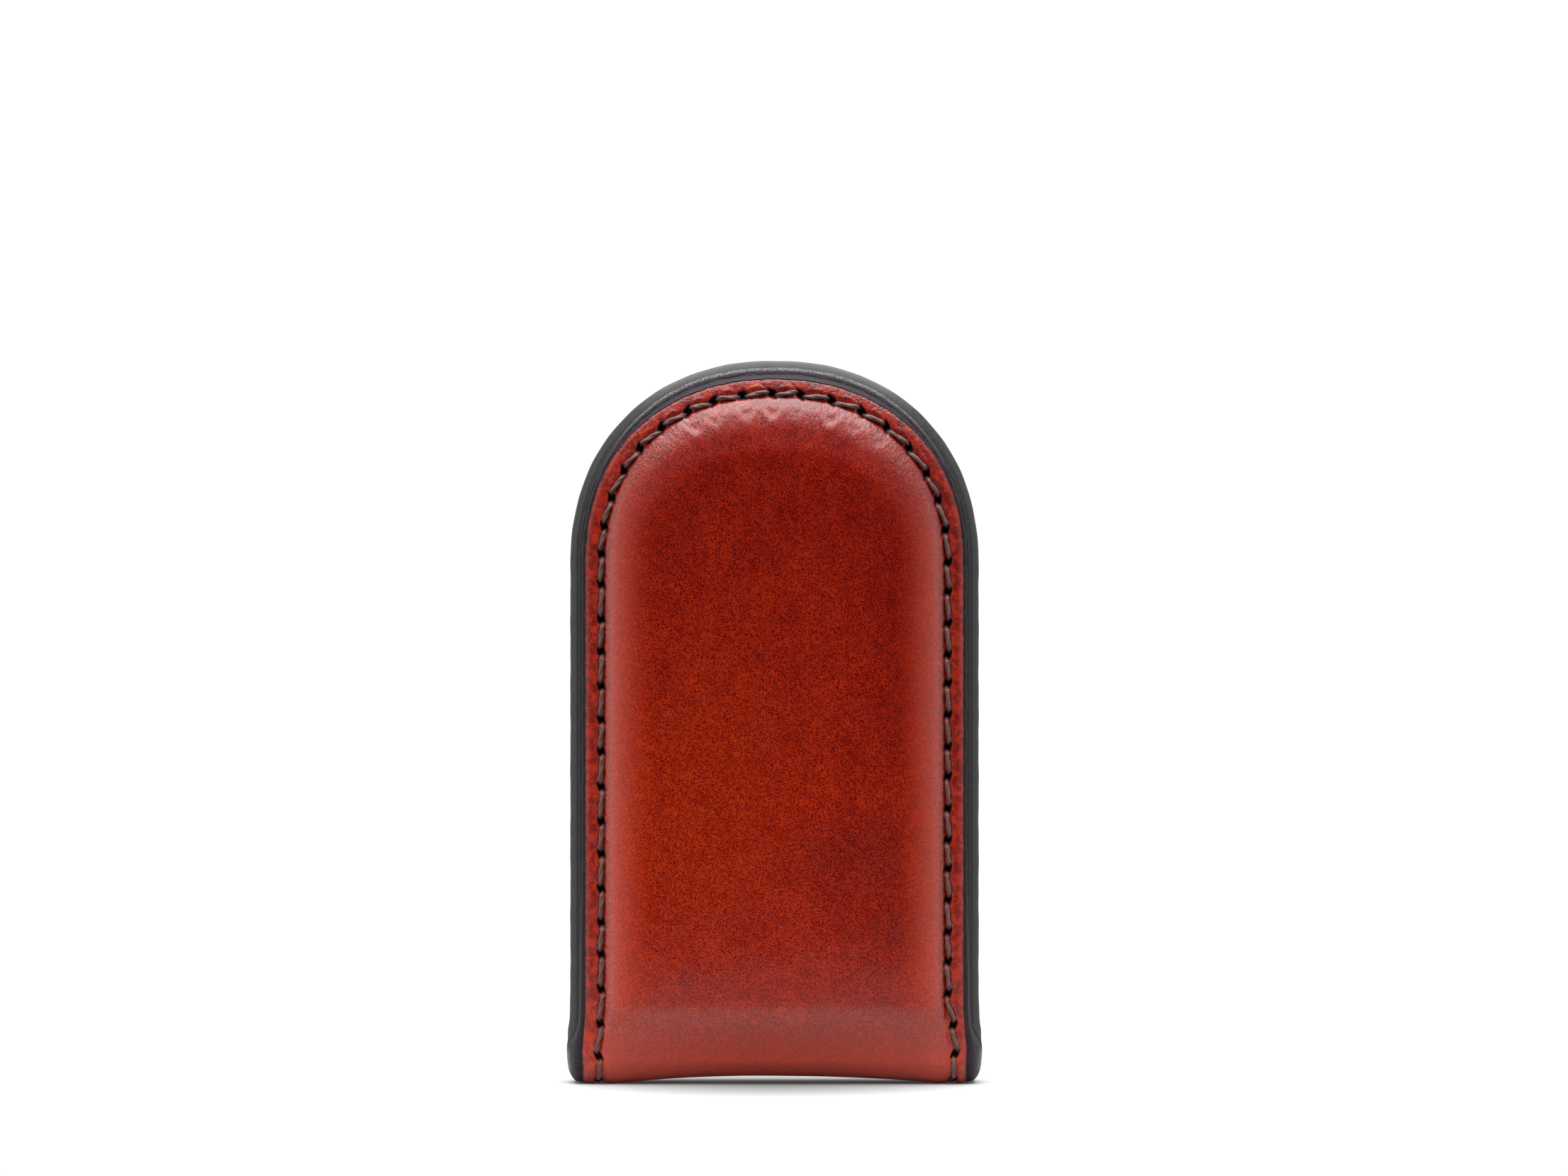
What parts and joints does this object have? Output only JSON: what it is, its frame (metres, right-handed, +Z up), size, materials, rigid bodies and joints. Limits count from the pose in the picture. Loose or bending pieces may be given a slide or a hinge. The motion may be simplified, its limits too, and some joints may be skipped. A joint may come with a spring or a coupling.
{
  "type": "money clip",
  "caption": "Folded leather clip: two round-topped stitched leaves with magnets under raised pillows close over folded banknotes and spread apart at the fold.",
  "frame": {"origin": "under the middle of the fold, on the plane the clip stands on, midway between its front and back", "axes": "+Z up from the fold to the round tops, -Y out of the front leaf, +X to the right seen from the front"},
  "size_m": [0.0388, 0.0082, 0.0676],
  "materials": {
    "outer_leather": "satin",
    "lining_leather": "matte",
    "edge_paint": "satin",
    "thread": "satin",
    "filler_board": "matte",
    "foam_pad": "matte",
    "magnet": "polished"
  },
  "bodies": {
    "fold": {"fold_outer_leather": "outer_leather", "fold_lining": "lining_leather", "fold_edge_paint_left": "edge_paint", "fold_edge_paint_right": "edge_paint", "fold_needle_thread_left": "thread", "fold_needle_thread_right": "thread", "fold_bobbin_thread_left": "thread", "fold_bobbin_thread_right": "thread"},
    "front_leaf": {"front_outer_leather": "outer_leather", "front_lining": "lining_leather", "front_edge_paint": "edge_paint", "front_needle_thread": "thread", "front_bobbin_thread": "thread", "front_filler_board": "filler_board", "front_foam_pad": "foam_pad", "front_magnet_lower": "magnet", "front_magnet_upper": "magnet"},
    "back_leaf": {"back_outer_leather": "outer_leather", "back_lining": "lining_leather", "back_edge_paint": "edge_paint", "back_needle_thread": "thread", "back_bobbin_thread": "thread", "back_filler_board": "filler_board", "back_foam_pad": "foam_pad", "back_magnet_lower": "magnet", "back_magnet_upper": "magnet"}
  },
  "joints": [
    {"name": "front_leaf_flex", "type": "hinge", "parent": "fold", "child": "front_leaf", "pos_m": [0, -0.0025, 0.005], "axis": [1, 0, 0], "range_deg": [0, 40], "stiffness_Nm_per_rad": 0.08, "springref_deg": -20.05, "deforming": ["fold_outer_leather", "fold_lining", "fold_edge_paint_left", "fold_edge_paint_right", "fold_needle_thread_left", "fold_needle_thread_right", "fold_bobbin_thread_left", "fold_bobbin_thread_right"]},
    {"name": "back_leaf_flex", "type": "hinge", "parent": "fold", "child": "back_leaf", "pos_m": [0, 0.0025, 0.005], "axis": [-1, 0, 0], "range_deg": [0, 40], "stiffness_Nm_per_rad": 0.08, "springref_deg": -20.05, "deforming": ["fold_outer_leather", "fold_lining", "fold_edge_paint_left", "fold_edge_paint_right", "fold_needle_thread_left", "fold_needle_thread_right", "fold_bobbin_thread_left", "fold_bobbin_thread_right"]}
  ]
}
